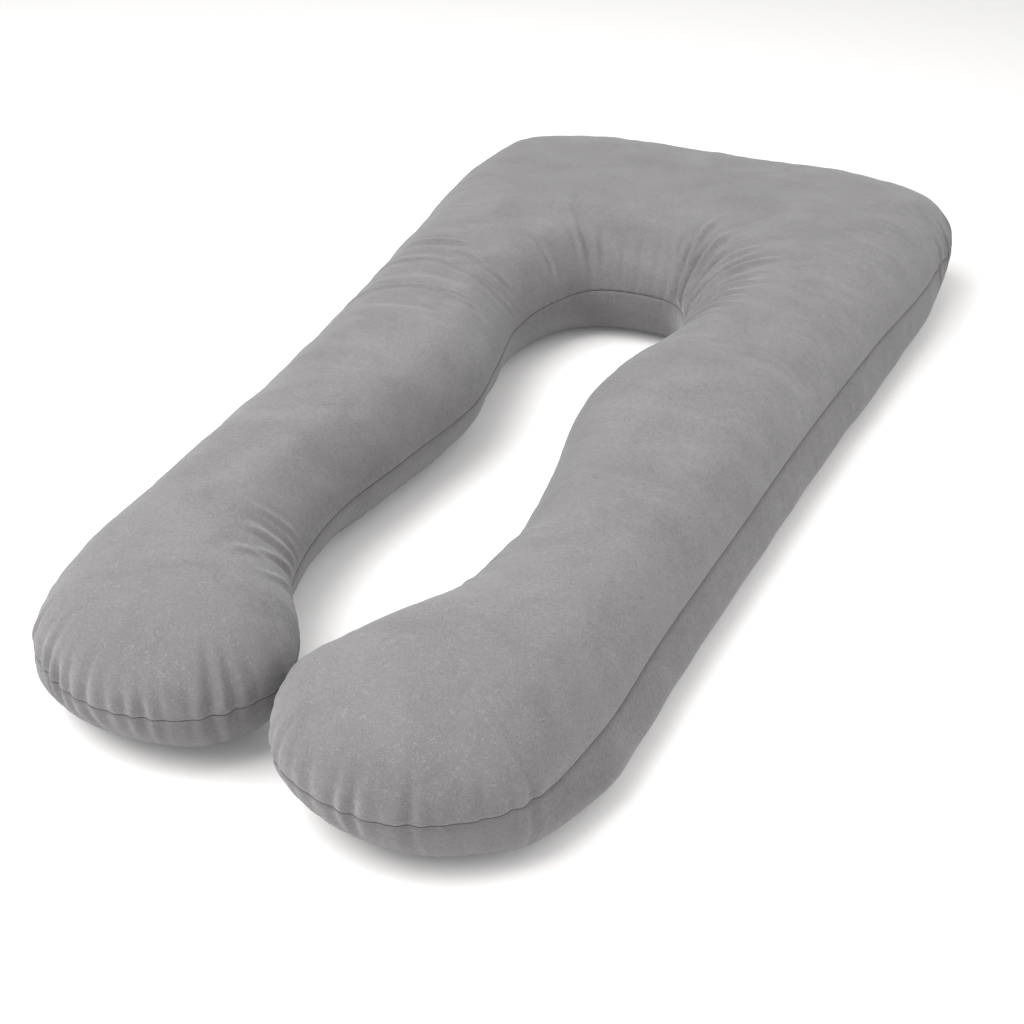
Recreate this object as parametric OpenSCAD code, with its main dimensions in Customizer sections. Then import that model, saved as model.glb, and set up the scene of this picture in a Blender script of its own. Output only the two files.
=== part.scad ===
// U-shaped nursing pillow: removable two-panel cover with a zip along the head edge,
// a thin inner liner and a fibre filling. Millimetres, +Z up, head towards +Y, feet towards -Y.

/* [Overall] */
// Height of the pillow resting on its bottom panel
pillow_height = 168; // [120:1:220]
// Height of the seam above the floor
seam_height = 85; // [60:1:110]
// Moves the whole outline along Y so that the part is centred on its origin
centre_shift = -4.1; // [-40:0.1:40]
// How far the lower half of the outer sides is pushed out past the seam
side_bulge = 36; // [0:1:50]
// How far the lower half of the foot ends is tucked in under the seam
foot_tuck = 14; // [0:1:30]
// Distance from the seam over which a panel rises to full height
rise_width = 119; // [80:1:160]

/* [Neck and body opening] */
// Top of the round neck opening
neck_top = 301; // [200:1:400]
// Half width of the neck opening
neck_half = 106; // [70:1:140]
// Half width of the waist, the narrow place below the neck
waist_half = 68; // [40:1:110]
// Half width of the belly space
belly_half = 104; // [60:1:150]
// Half width of the mouth between the two feet
mouth_half = 5; // [3:1:60]

/* [Outer edge] */
// Half width of the seam at the head
head_half = 377; // [300:1:430]
// Half width of the seam at the feet
foot_half = 289; // [240:1:430]
// Back edge of the head bar at the seam
head_back = 751; // [650:1:850]
// Front edge of the feet at the seam
foot_front = -746; // [-850:1:-650]

/* [Cover and liner] */
// Thickness of the velour of the cover
cover_thick = 1.2; // [0.8:0.1:2]
// Thickness of the cotton of the inner liner
liner_thick = 0.6; // [0.4:0.1:1.2]
// Width of the seam allowance inside the cover
allowance = 8; // [5:0.5:12]
// Distance between the seam and the edge of the liner
liner_inset = 12; // [10:0.5:20]

/* [Zip] */
// Length of the opening closed by the zip
zip_length = 380; // [200:5:400]
// Height of the slot in the cover that shows the zip
zip_slot = 15; // [12:0.5:20]
// Height of each zip tape
tape_height = 10.5; // [8:0.5:14]
// Thickness of each zip tape
tape_thick = 0.6; // [0.4:0.1:1]
// Width of one row of coil teeth
coil_width = 2.2; // [1.5:0.1:3]
// Diameter of the nylon wire of the coil
coil_wire = 0.9; // [0.5:0.1:1.2]
// Number of coil turns drawn over the length of the zip
coil_turns = 95; // [40:1:190]
// Gap between the two rows of coil for the post of the slider
coil_gap = 1.2; // [0.8:0.1:2]
// Length of the zip slider
slider_length = 11; // [8:0.5:16]
// Width of the zip slider
slider_width = 9; // [7:0.5:12]
// Length of the pull tab
pull_length = 27; // [15:0.5:40]

/* [Hidden] */

top_rise = pillow_height - seam_height;

// Seam of the right-hand leg seen from above: from the neck round the foot to the back.
half_seam = [
  [0, neck_top], [neck_half * 0.58, neck_top - 14], [neck_half * 0.92, neck_top - 79],
  [neck_half, neck_top - 167], [waist_half + 14, neck_top - 270], [waist_half, neck_top - 380],
  [belly_half - 14, neck_top - 530], [belly_half, neck_top - 671], [belly_half - 22, neck_top - 792],
  [mouth_half + 22, foot_front + 170], [mouth_half, foot_front + 103], [mouth_half + 43, foot_front + 26],
  [foot_half * 0.54, foot_front], [foot_half * 0.88, foot_front + 52], [foot_half, foot_front + 160],
  [foot_half + 7, foot_front + 325], [foot_half + 17, foot_front + 539], [head_half - 54, head_back - 727],
  [head_half - 27, head_back - 474], [head_half, head_back - 222], [head_half - 25, head_back - 59],
  [200, head_back], [100, head_back + 0.5], [0, head_back]];
last = len(half_seam) - 1;

// Push-out of the lower half beside each of those points.
half_bulge = [for (i = [0:last])
  i < 9 ? 4 : i == 9 ? -5 : i < 13 ? -foot_tuck : i == 13 ? (side_bulge - foot_tuck) / 2 :
  i < 19 ? side_bulge : i == 19 ? side_bulge * 0.65 : i == 20 ? side_bulge * 0.1 : 0];

// The right half from the list, the left half mirrored.
function wrap(i) = (i % (2 * last) + 2 * last) % (2 * last);
function control(i) = let (k = wrap(i))
  k <= last ? half_seam[k] : [-half_seam[2 * last - k][0], half_seam[2 * last - k][1]];
function bulge_at(u) = let (k = floor(u), f = u - k, a = wrap(k), b = wrap(k + 1))
  (1 - f) * half_bulge[a <= last ? a : 2 * last - a] + f * half_bulge[b <= last ? b : 2 * last - b];

// Smooth curve through the seam points; u counts the points.
function tangent(a, b, c) = let (s = sqrt(norm(b - a)), t = sqrt(norm(c - b)))
  (b - a) / s - (c - a) / (s + t) + (c - b) / t;
function seam(u) = let (
    k = floor(u), f = u - k, a = control(k - 1), b = control(k), c = control(k + 1), d = control(k + 2),
    w = sqrt(norm(c - b)), m = tangent(a, b, c) * w, n = tangent(b, c, d) * w)
  b * (2 * f * f * f - 3 * f * f + 1) + m * (f * f * f - 2 * f * f + f)
  + c * (3 * f * f - 2 * f * f * f) + n * (f * f * f - f * f);
// Unit direction into the filling.
function inward(u) = let (d = seam(u + 0.02) - seam(u - 0.02)) [-d[1], d[0]] / norm(d);
function seam_in(u, inset) = seam(u) + inward(u) * inset;

// Which point of the outer edge faces each point of the inner edge.
facing = [23, 21.3, 19.7, 18.35, 17.55, 16.8, 16.05, 15.3, 14.6, 14.1, 13.6, 12.85];
foot_tip = 12;
function face(u) = let (k = min(floor(u), 10), f = u - k) facing[k] * (1 - f) + facing[k + 1] * f;
stations = [for (u = [0:0.25:3.25]) u, for (u = [3.5:0.5:9]) u,
  9.3, 9.6, 9.9, 10.2, 10.5, 10.75, 11, 11.25, 11.45, 11.65, 11.8, 11.9, 11.96];
function cap_outer(u) = u <= 11 ? face(u) : 12.85 - (u - 11) * 0.85;

// Superellipse rise of a panel: plan step and height at the angle a.
function step_in(a, power, width, push) = width * (1 - pow(cos(a), 2 / power)) - push * sin(2 * a);
function rise(a, power) = pow(sin(a), 2 / power);
fine = [0, 7, 15, 24, 34, 45, 57, 71, 90];
coarse = [0, 10, 24, 42, 64, 90];

// One row of points across a leg, from the inner edge to the outer edge.
// side: 1 for the top panel, -1 for the bottom panel.
function row(ui, uo, side, inset, skin, lift, angles) = let (
    a = seam_in(ui, inset), b = seam_in(uo, inset), half = norm(b - a) / 2, dir = (b - a) / (2 * half),
    mid = (a + b) / 2, tip = seam_in(foot_tip, inset),
    reach = min(1, norm(mid - tip) / rise_width),
    cap = sqrt(max(0, 1 - pow(1 - reach, 2.2))),
    width = min(half, rise_width - inset + 0.45 * max(0, half - rise_width)),
    tall = (side > 0 ? top_rise : seam_height) - skin - lift,
    power = side > 0 ? 2.1 : 2.65,
    shrink = min(1, half / 60),
    push_a = side > 0 ? 0 : bulge_at(ui) * shrink, push_b = side > 0 ? 0 : bulge_at(uo) * shrink)
  concat(
    [for (i = [0:len(angles) - 1]) let (p = a + dir * step_in(angles[i], power, width, push_a))
      [p[0], p[1], seam_height + side * (lift + tall * cap * rise(angles[i], power))]],
    [for (i = [len(angles) - 1:-1:0]) if (i < len(angles) - 1 || width < half - 2)
      let (p = b - dir * step_in(angles[i], power, width, push_b))
      [p[0], p[1], seam_height + side * (lift + tall * cap * rise(angles[i], power))]]);

// The same number of points in every row, so that a middle point is always present.
function even_row(ui, uo, side, inset, skin, lift, angles) = let (
    r = row(ui, uo, side, inset, skin, lift, angles), n = len(angles))
  len(r) == 2 * n ? r : concat([for (i = [0:n - 2]) r[i]],
    [r[n - 1] * 0.75 + r[n - 2] * 0.25], [r[n - 1] * 0.75 + r[n] * 0.25], [for (i = [n:2 * n - 2]) r[i]]);

// Rows from the tip of the left foot over the head to the tip of the right foot.
function mirrored(r) = [for (p = r) [-p[0], p[1], p[2]]];
function rows(side, inset, skin, lift, angles) = let (
    right = [for (u = stations) even_row(u, cap_outer(u), side, inset, skin, lift, angles)])
  concat([for (i = [len(right) - 1:-1:1]) mirrored(right[i])], right);

function flat(list) = [for (r = list) for (p = r) p];

// Thin shell between two panel surfaces.
module shell(side, inset, thick, lift, skin, angles) {
  outer = rows(side, inset, skin, lift, angles);
  inner = rows(side, inset + thick, skin + thick, lift, angles);
  m = len(outer);
  k = len(outer[0]);
  function o(i, j) = i * k + j;
  function n(i, j) = m * k + i * k + j;
  function turn(q) = side > 0 ? q : [q[2], q[1], q[0]];
  faces = [
    for (i = [0:m - 2]) for (j = [0:k - 2]) each [
      turn([o(i, j), o(i, j + 1), o(i + 1, j + 1)]), turn([o(i, j), o(i + 1, j + 1), o(i + 1, j)]),
      turn([n(i, j), n(i + 1, j + 1), n(i, j + 1)]), turn([n(i, j), n(i + 1, j), n(i + 1, j + 1)])],
    for (i = [0:m - 2]) each [
      turn([o(i, 0), o(i + 1, 0), n(i + 1, 0)]), turn([o(i, 0), n(i + 1, 0), n(i, 0)]),
      turn([o(i, k - 1), n(i + 1, k - 1), o(i + 1, k - 1)]), turn([o(i, k - 1), n(i, k - 1), n(i + 1, k - 1)])],
    for (j = [0:k - 2]) each [
      turn([o(0, j), n(0, j + 1), o(0, j + 1)]), turn([o(0, j), n(0, j), n(0, j + 1)]),
      turn([o(m - 1, j), o(m - 1, j + 1), n(m - 1, j + 1)]), turn([o(m - 1, j), n(m - 1, j + 1), n(m - 1, j)])]];
  translate([0, centre_shift, 0]) polyhedron(concat(flat(outer), flat(inner)), faces, convexity = 8);
}

// Solid between the top and bottom surfaces.
module body(inset, skin) {
  top = rows(1, inset, skin, 0, coarse);
  low = rows(-1, inset, skin, 0, coarse);
  m = len(top);
  k = len(top[0]);
  // the two edge points of a row are shared by the top and the bottom
  w = 2 * k - 2;
  ring = [for (i = [0:m - 1]) concat(top[i], [for (j = [k - 2:-1:1]) low[i][j]])];
  faces = [
    for (i = [0:m - 2]) for (j = [0:w - 1]) let (a = i * w + j, b = i * w + (j + 1) % w, c = b + w, d = a + w)
      each [[a, b, c], [a, c, d]],
    for (j = [1:w - 2]) each [[0, j + 1, j], [(m - 1) * w, (m - 1) * w + j, (m - 1) * w + j + 1]]];
  translate([0, centre_shift, 0]) polyhedron(flat(ring), faces, convexity = 8);
}

// Outline in plan through the same stations as the panels, for the flat strips that follow the seam.
module outline(inset) {
  n = len(stations) - 1;
  in_edge = [for (u = stations) seam_in(u, inset)];
  out_edge = [for (u = stations) seam_in(cap_outer(u), inset)];
  polygon(concat(in_edge, [for (i = [n:-1:0]) out_edge[i]],
    [for (i = [1:n]) [-out_edge[i][0], out_edge[i][1]]], [for (i = [n:-1:1]) [-in_edge[i][0], in_edge[i][1]]]));
}

module strip(inset, wide, low, tall) {
  translate([0, centre_shift, seam_height + low]) linear_extrude(tall) difference() {
    outline(inset);
    outline(inset + wide);
  }
}

back = head_back + centre_shift;

// Slot in the cover and gap in the seam where the zip is.
module zip_slot_cut(extra = 0) {
  translate([-zip_length / 2 - extra, back - 11, seam_height - zip_slot / 2])
    cube([zip_length + 2 * extra, 20, zip_slot]);
}

module cover_top_panel() color([0.60, 0.60, 0.61]) difference() {
  shell(1, 0, cover_thick, 0.1, 0, fine);
  zip_slot_cut();
}

module cover_bottom_panel() color([0.58, 0.58, 0.59]) difference() {
  shell(-1, 0, cover_thick, 0.1, 0, fine);
  zip_slot_cut();
}

// Turned-in edges of the two panels, left out along the zip.
module cover_seam_allowance() color([0.52, 0.52, 0.53]) difference() {
  strip(cover_thick + 0.4, allowance, -0.8, 1.6);
  translate([-zip_length / 2 - 12, back - 30, seam_height - 5]) cube([zip_length + 24, 40, 10]);
}

// Thread that holds the two turned-in edges together.
module cover_seam_stitching() color([0.66, 0.66, 0.67]) difference() {
  strip(cover_thick + 1.4, 0.8, 0.8, 0.4);
  translate([-zip_length / 2 - 12, back - 30, seam_height - 5]) cube([zip_length + 24, 40, 10]);
}

module liner_top_panel() color([0.93, 0.92, 0.90]) shell(1, liner_inset, liner_thick, 0.1, 3.2, coarse);

module liner_bottom_panel() color([0.91, 0.90, 0.88]) shell(-1, liner_inset, liner_thick, 0.1, 3.2, coarse);

// Short row of hand stitches that closes the liner after filling.
module liner_closing_stitch() color([0.98, 0.98, 0.97])
  for (i = [-14:14]) translate([i * 7, back - liner_inset + 0.7 + 0.035 * abs(i), seam_height - 1.2])
    rotate([0, 18, 0]) cylinder(h = 2.6, d = 0.5, $fn = 12);

module fibre_filling() color([0.97, 0.97, 0.96]) body(liner_inset + liner_thick + 3, 7);

tape_face = back - 2.9;

module tape(side) {
  low = coil_gap / 2 + 0.2;
  translate([-zip_length / 2 - 5, tape_face - tape_thick, side > 0 ? seam_height + low : seam_height - low - tape_height])
    cube([zip_length + 10, tape_thick, tape_height]);
}

module zip_tape_upper() color([0.50, 0.50, 0.51]) tape(1);

module zip_tape_lower() color([0.50, 0.50, 0.51]) tape(-1);

// One row of coil: turns of nylon wire joined by the cord they are sewn over.
module coil(side) {
  pitch = (zip_length - 8) / coil_turns;
  translate([0, tape_face + 1.0, seam_height + side * coil_gap / 2]) {
    for (i = [0:coil_turns - 1]) translate([-zip_length / 2 + 4 + (i + 0.5) * pitch, 0, 0])
      rotate([side > 0 ? 0 : 180, 0, 0]) cylinder(h = coil_width, d = coil_wire, $fn = 8);
    translate([-zip_length / 2 + 2, -0.45, side > 0 ? coil_width - 0.9 : -coil_width])
      cube([zip_length - 4, 0.9, 0.9]);
  }
}

module zip_coil_upper() color([0.46, 0.46, 0.47]) coil(1);

module zip_coil_lower() color([0.46, 0.46, 0.47]) coil(-1);

// Metal staple across both tapes at the closed end.
module zip_bottom_stop() color([0.72, 0.72, 0.74]) difference() {
  translate([-zip_length / 2 + 0.2, tape_face - tape_thick - 0.6, seam_height - 3.4]) cube([1.6, 3.4, 6.8]);
  for (side = [-1, 1]) translate([-zip_length / 2 - 2, tape_face - tape_thick - 0.05, seam_height + side * 3.35 - 2.6])
    cube([6, tape_thick + 0.1, 5.2]);
  translate([-zip_length / 2 + 1.7, tape_face - 2, seam_height - 3.5]) cube([1, 5, 7]);
}

// Small metal stops beside each row of coil at the open end.
module top_stop(side) difference() {
  translate([zip_length / 2 - 1.9, tape_face - tape_thick - 0.6, side > 0 ? seam_height + 0.25 : seam_height - 3.5])
    cube([1.6, 3.2, 3.25]);
  translate([zip_length / 2 - 4, tape_face - tape_thick - 0.05, seam_height + side * 3.35 - 2.6])
    cube([6, tape_thick + 0.1, 5.2]);
}

module zip_top_stop_upper() color([0.72, 0.72, 0.74]) top_stop(1);

module zip_top_stop_lower() color([0.72, 0.72, 0.74]) top_stop(-1);

// Folded fabric tabs that hide the two ends of the zip.
module end_tab(side) {
  translate([side * (zip_length / 2 + 2.5) - 1.9, tape_face + 0.1, seam_height - 6.4]) cube([3.8, 0.7, 12.8]);
}

module zip_end_tab_left() color([0.55, 0.55, 0.56]) end_tab(-1);

module zip_end_tab_right() color([0.55, 0.55, 0.56]) end_tab(1);

slider_x = zip_length / 2 - 2.2 - slider_length / 2;

// Two wings joined by the post, with rims that hold the coil in.
module zip_slider_body() color([0.70, 0.70, 0.72]) translate([slider_x, 0, seam_height]) {
  difference() {
    hull() {
      translate([-slider_length / 2, tape_face - tape_thick - 1.7, -slider_width / 2 + 0.8]) cube([0.5, 5.2, slider_width - 1.6]);
      translate([0, tape_face - tape_thick - 1.7, -slider_width / 2]) cube([slider_length / 2, 5.2, slider_width]);
    }
    // channel for the coil
    translate([-slider_length, tape_face - tape_thick - 0.35, -2.85])
      cube([2 * slider_length, tape_thick + 0.35 + 1.95, 5.7]);
    // side slots for the tapes
    translate([-slider_length, tape_face - tape_thick - 0.35, -slider_width]) cube([2 * slider_length, tape_thick + 0.7, 2 * slider_width]);
  }
  // post between the two rows of coil
  translate([slider_length / 2 - 3.6, tape_face - tape_thick - 1.2, -0.35]) cube([3.2, 4.1, 0.7]);
}

bridge_face = tape_face - tape_thick + 3.5;

// Arched bridge that carries the pull tab.
module zip_slider_bridge() color([0.72, 0.72, 0.74]) translate([slider_x, bridge_face, seam_height]) {
  difference() {
    translate([-3.6, 0, -1.1]) cube([7.2, 4.1, 2.2]);
    translate([-2.5, -1, -2]) cube([5, 4.1, 4]);
  }
}

pull_pivot = bridge_face + 2.1;

// Pull tab: an eye round the bridge and a flat grip, lying along the zip.
module zip_pull_tab() color([0.74, 0.74, 0.76]) translate([slider_x, pull_pivot, seam_height]) mirror([1, 0, 0]) {
  difference() {
    union() {
      cylinder(h = 6.4, d = 1.2, center = true, $fn = 32);
      translate([0, -0.6, -3.2]) cube([pull_length - 0.75, 1.2, 6.4]);
    }
    translate([0.75, -2, -1.5]) cube([5.2, 4, 3]);
    translate([pull_length - 4.5, 2, 0]) rotate([90, 0, 0]) cylinder(h = 4, d = 2.6, $fn = 32);
  }
}

// Strip of cover fabric behind the zip.
module zip_guard_flap() color([0.60, 0.60, 0.61])
  translate([-zip_length / 2 - 6, back - 8.2, seam_height - 14]) cube([zip_length + 12, 0.9, 28]);

// Blank folded label sewn inside the cover beside the zip.
module inner_care_label() color([0.95, 0.95, 0.94])
  translate([zip_length / 2 - 60, back - 7, seam_height - 16]) cube([30, 0.5, 30]);

cover_top_panel();
cover_bottom_panel();
cover_seam_allowance();
cover_seam_stitching();
liner_top_panel();
liner_bottom_panel();
liner_closing_stitch();
fibre_filling();
zip_tape_upper();
zip_tape_lower();
zip_coil_upper();
zip_coil_lower();
zip_bottom_stop();
zip_top_stop_upper();
zip_top_stop_lower();
zip_end_tab_left();
zip_end_tab_right();
zip_slider_body();
zip_slider_bridge();
zip_pull_tab();
zip_guard_flap();
inner_care_label();
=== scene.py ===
import math

import bmesh
import bpy
import numpy as np
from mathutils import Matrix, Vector, geometry


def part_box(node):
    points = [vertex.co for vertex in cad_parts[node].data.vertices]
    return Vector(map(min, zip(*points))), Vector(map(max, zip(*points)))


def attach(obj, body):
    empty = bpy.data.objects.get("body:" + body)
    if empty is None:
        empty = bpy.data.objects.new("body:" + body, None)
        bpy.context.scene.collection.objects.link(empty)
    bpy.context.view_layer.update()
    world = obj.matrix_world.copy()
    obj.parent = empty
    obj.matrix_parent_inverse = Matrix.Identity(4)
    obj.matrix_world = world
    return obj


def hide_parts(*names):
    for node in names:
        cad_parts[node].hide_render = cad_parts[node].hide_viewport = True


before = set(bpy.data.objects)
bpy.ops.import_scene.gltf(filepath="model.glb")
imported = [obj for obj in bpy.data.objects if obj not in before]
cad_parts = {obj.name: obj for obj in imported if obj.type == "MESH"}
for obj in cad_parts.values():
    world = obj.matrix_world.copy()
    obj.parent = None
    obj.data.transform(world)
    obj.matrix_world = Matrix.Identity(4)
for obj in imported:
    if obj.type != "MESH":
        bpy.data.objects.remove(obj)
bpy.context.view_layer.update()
scene = bpy.context.scene


def toLinear(code):
    parts = [int(code[i:i + 2], 16) / 255 for i in (1, 3, 5)]
    return [c / 12.92 if c <= 0.04045 else ((c + 0.055) / 1.055) ** 2.4 for c in parts] + [1.0]


def addNode(material, kind, settings=None, links=None):
    tree = material.node_tree
    node = tree.nodes.new(kind)
    for key, value in (settings or {}).items():
        if isinstance(key, int) or key in node.inputs:
            node.inputs[key].default_value = value
        else:
            setattr(node, key, value)
    for key, source in (links or {}).items():
        tree.links.new(source, node.inputs[key])
    return node


def newMaterial(name):
    material = bpy.data.materials.new(name)
    material.use_nodes = True
    material.node_tree.nodes.clear()
    return material


def finishMaterial(material, shader):
    out = addNode(material, "ShaderNodeOutputMaterial")
    material.node_tree.links.new(shader.outputs[0], out.inputs["Surface"])
    return material


def smoothStep(low, high, x):
    t = np.clip((x - low) / (high - low), 0, 1)
    return t * t * (3 - 2 * t)


def bell(x):
    return np.exp(-x * x)


cameraPlan = {
    "azimuth": 24.2,
    "elevation": 33.6,
    "distance": 1.664,
    "target": (0.0646, -0.271, 0.076),
    "lens": 52.46,
}


def placeCamera(plan):
    a = math.radians(plan["azimuth"])
    e = math.radians(plan["elevation"])
    back = Vector((math.sin(a) * math.cos(e), -math.cos(a) * math.cos(e), math.sin(e)))
    data = bpy.data.cameras.new("camera")
    data.lens = plan["lens"]
    data.sensor_width = 36
    data.clip_end = 50
    camera = bpy.data.objects.new("camera", data)
    camera.location = Vector(plan["target"]) + back * plan["distance"]
    camera.rotation_euler = (-back).to_track_quat("-Z", "Y").to_euler()
    scene.collection.objects.link(camera)
    scene.camera = camera


placeCamera(cameraPlan)

studio = {
    "floor": "#ECEBEA",
    "glow": 0.08,
    "world": 0.55,
    "key": 140,
    "keySize": 2.6,
    "keyPlace": (-0.95, -1.35, 2.7),
    "fill": 30,
}


def makeStudio(plan):
    scene.view_settings.view_transform = "Standard"
    world = bpy.data.worlds.new("studio_world")
    world.use_nodes = True
    shade = world.node_tree.nodes["Background"]
    shade.inputs["Color"].default_value = (1, 1, 1, 1)
    shade.inputs["Strength"].default_value = plan["world"]
    scene.world = world
    mesh = bpy.data.meshes.new("studio_floor")
    s = 14
    mesh.from_pydata([(-s, -s, 0), (s, -s, 0), (s, s, 0), (-s, s, 0)], [], [(0, 1, 2, 3)])
    floor = bpy.data.objects.new("studio_floor", mesh)
    scene.collection.objects.link(floor)
    paper = newMaterial("matte_paper")  # a roll of studio paper: flat white, no shine
    shader = addNode(paper, "ShaderNodeBsdfPrincipled", {
        "Base Color": toLinear(plan["floor"]), "Roughness": 1.0, "Specular IOR Level": 0.0,
        "Emission Color": (1, 1, 1, 1), "Emission Strength": plan["glow"]})
    finishMaterial(paper, shader)
    mesh.materials.append(paper)
    addLight("key_light", plan["key"], plan["keySize"], plan["keyPlace"], (0.0, -0.1, 0.0))
    addLight("fill_light", plan["fill"], 2.4, (1.7, -0.7, 2.2), (0.0, 0.0, 0.0))


def addLight(name, power, size, place, target):
    data = bpy.data.lights.new(name, "AREA")
    data.energy = power
    data.size = size
    light = bpy.data.objects.new(name, data)
    light.location = place
    light.rotation_euler = (Vector(target) - Vector(place)).to_track_quat("-Z", "Y").to_euler()
    scene.collection.objects.link(light)


makeStudio(studio)
print("studio ready")

# Seam outline, the same design values as the CAD part, in metres. The two tucks are how far the wall
# under the seam sinks in along the legs and at the feet.

plan = {
    "shift": -0.0041,
    "seamHeight": 0.085,
    "topRise": 0.083,
    "bottomDrop": 0.085,
    "riseWidth": 0.119,
    "topPower": 2.1,
    "bottomPower": 2.4,
    "sideBulge": 0.036,
    "footTuck": 0.016,
    "legTuck": 0.011,
    "neckTop": 0.301,
    "neckHalf": 0.106,
    "waistHalf": 0.068,
    "bellyHalf": 0.104,
    "mouthHalf": 0.005,
    "headHalf": 0.377,
    "footHalf": 0.289,
    "headBack": 0.751,
    "footFront": -0.746,
    "zipHalf": 0.19,
    "zipSlot": 0.0075,
}


# A filled pillow never lies quite evenly: outward shift in mm of each seam point of the right
# half, from the neck round the foot to the back. The left half goes the other way.
lean = [0, -3, -2, 2, 7, 3, -2, 0, 0, -3, 1, 10, 12, 6, 1, 1, 4, 1, -3, -3, 8, 1, 0, 0]


def seamControls(p):
    nt, nh, wh, bh, mh = p["neckTop"], p["neckHalf"], p["waistHalf"], p["bellyHalf"], p["mouthHalf"]
    hh, fh, hb, ff = p["headHalf"], p["footHalf"], p["headBack"], p["footFront"]
    half = [
        (0, nt), (nh * 0.58, nt - 0.014), (nh * 0.92, nt - 0.079), (nh, nt - 0.167),
        (wh + 0.014, nt - 0.270), (wh, nt - 0.380), (bh - 0.014, nt - 0.530), (bh, nt - 0.671),
        (bh - 0.022, nt - 0.792), (mh + 0.022, ff + 0.170), (mh, ff + 0.103), (mh + 0.043, ff + 0.026),
        (fh * 0.54, ff), (fh * 0.88, ff + 0.052), (fh, ff + 0.160), (fh + 0.007, ff + 0.325),
        (fh + 0.017, ff + 0.539), (hh - 0.054, hb - 0.727), (hh - 0.027, hb - 0.474), (hh, hb - 0.222),
        (hh - 0.025, hb - 0.059), (0.200, hb), (0.100, hb + 0.0005), (0, hb)]
    bulge = [0.004] * 3 + [0.0, -0.007] + [-p["legTuck"]] * 4 + [-0.014] + [-p["footTuck"]] * 3
    side = p["sideBulge"]
    bulge += [(side - p["footTuck"]) / 2] + [side] * 5 + [side * 0.65, side * 0.1, 0, 0, 0]
    points = np.array(half + [(-x, y) for x, y in half[-2:0:-1]]) + [0, p["shift"]]
    along = np.roll(points, -1, 0) - np.roll(points, 1, 0)
    along /= np.linalg.norm(along, axis=1)[:, None]
    move = np.array(lean + [-v for v in lean[-2:0:-1]]) / 1000
    points += np.stack([along[:, 1], -along[:, 0]], 1) * move[:, None]
    return points, np.array(bulge + bulge[-2:0:-1])


def seamCurve(controls, bulge, u):
    n = len(controls)
    k = np.floor(u).astype(int)
    f = (u - k)[:, None]
    a, b, c, d = (controls[(k + i) % n] for i in (-1, 0, 1, 2))
    s, w, t = (np.sqrt(np.linalg.norm(q - p, axis=1))[:, None] for p, q in ((a, b), (b, c), (c, d)))
    m = ((b - a) / s - (c - a) / (s + w) + (c - b) / w) * w
    v = ((c - b) / w - (d - b) / (w + t) + (d - c) / t) * w
    out = b * (2 * f ** 3 - 3 * f ** 2 + 1) + m * (f ** 3 - 2 * f ** 2 + f)
    out += c * (3 * f ** 2 - 2 * f ** 3) + v * (f ** 3 - f ** 2)
    push = bulge[k % n] * (1 - f[:, 0]) + bulge[(k + 1) % n] * f[:, 0]
    return out, push


def seamColumns(spacing, inset=0.0):
    controls, bulge = seamControls(plan)
    n = len(controls)
    u = np.linspace(0, n, 9001)[:-1]
    points, push = seamCurve(controls, bulge, u)
    step = np.linalg.norm(np.roll(points, -1, 0) - points, axis=1)
    run = np.r_[0, np.cumsum(step)]
    count = int(round(run[-1] / spacing))
    want = np.arange(count) * run[-1] / count
    uu = np.interp(want, run, np.r_[u, n])
    points, push = seamCurve(controls, bulge, uu)
    along = np.roll(points, -1, 0) - np.roll(points, 1, 0)
    along /= np.linalg.norm(along, axis=1)[:, None]
    inward = np.stack([-along[:, 1], along[:, 0]], 1)
    kernel = np.hanning(max(5, int(0.12 / spacing) | 1))
    kernel /= kernel.sum()
    reach = len(kernel) // 2
    push = np.convolve(np.r_[push[-reach:], push, push[:reach]], kernel, "valid")
    return {"xy": points + inward * inset, "in": inward, "push": push, "run": want, "length": run[-1]}


def nearestSeam(cols, xy):
    pts = cols["xy"]
    count = len(pts)
    near = np.empty(len(xy), int)
    for i in range(0, len(xy), 3000):
        part = xy[i:i + 3000]
        gap = (part[:, :1] - pts[None, :, 0]) ** 2 + (part[:, 1:] - pts[None, :, 1]) ** 2
        near[i:i + 3000] = gap.argmin(1)
    best = np.full(len(xy), 9.0)
    place = near.astype(float)
    for side in (-1, 0):
        a = pts[(near + side) % count]
        b = pts[(near + side + 1) % count]
        t = ((xy - a) * (b - a)).sum(1) / ((b - a) ** 2).sum(1)
        t = np.clip(t, 0, 1)
        gap = np.linalg.norm(xy - a - t[:, None] * (b - a), axis=1)
        better = gap < best
        best[better] = gap[better]
        place[better] = (near + side)[better] + t[better]
    sign = np.sign(((xy - pts[near]) * cols["in"][near]).sum(1))
    return best * np.where(sign == 0, 1, sign), place % count


gridStep = 0.004
planReach = (0.42, 0.79)  # half width and half length that the grids cover


def planGrid(step):
    wide, long = planReach
    return np.arange(-wide, wide + 0.0001, step), np.arange(-long, long + 0.0001, step)


# Soft height field: rises from the seam and levels off in the middle of a leg.
def heightGrid(cols, level=0.036):
    xs, ys = planGrid(gridStep)
    gx, gy = np.meshgrid(xs, ys)
    coarse = {"xy": cols["xy"][::3], "in": cols["in"][::3]}
    gap, _ = nearestSeam(coarse, np.stack([gx.ravel(), gy.ravel()], 1))
    inside = (gap > 0).reshape(gx.shape)
    k = (gridStep / level) ** 2
    psi = inside * 0.8
    for _ in range(900):
        around = np.zeros_like(psi)
        around[1:-1, 1:-1] = psi[2:, 1:-1] + psi[:-2, 1:-1] + psi[1:-1, 2:] + psi[1:-1, :-2]
        psi = inside * (around + k) / (4 + k)
    return xs, ys, psi


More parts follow.
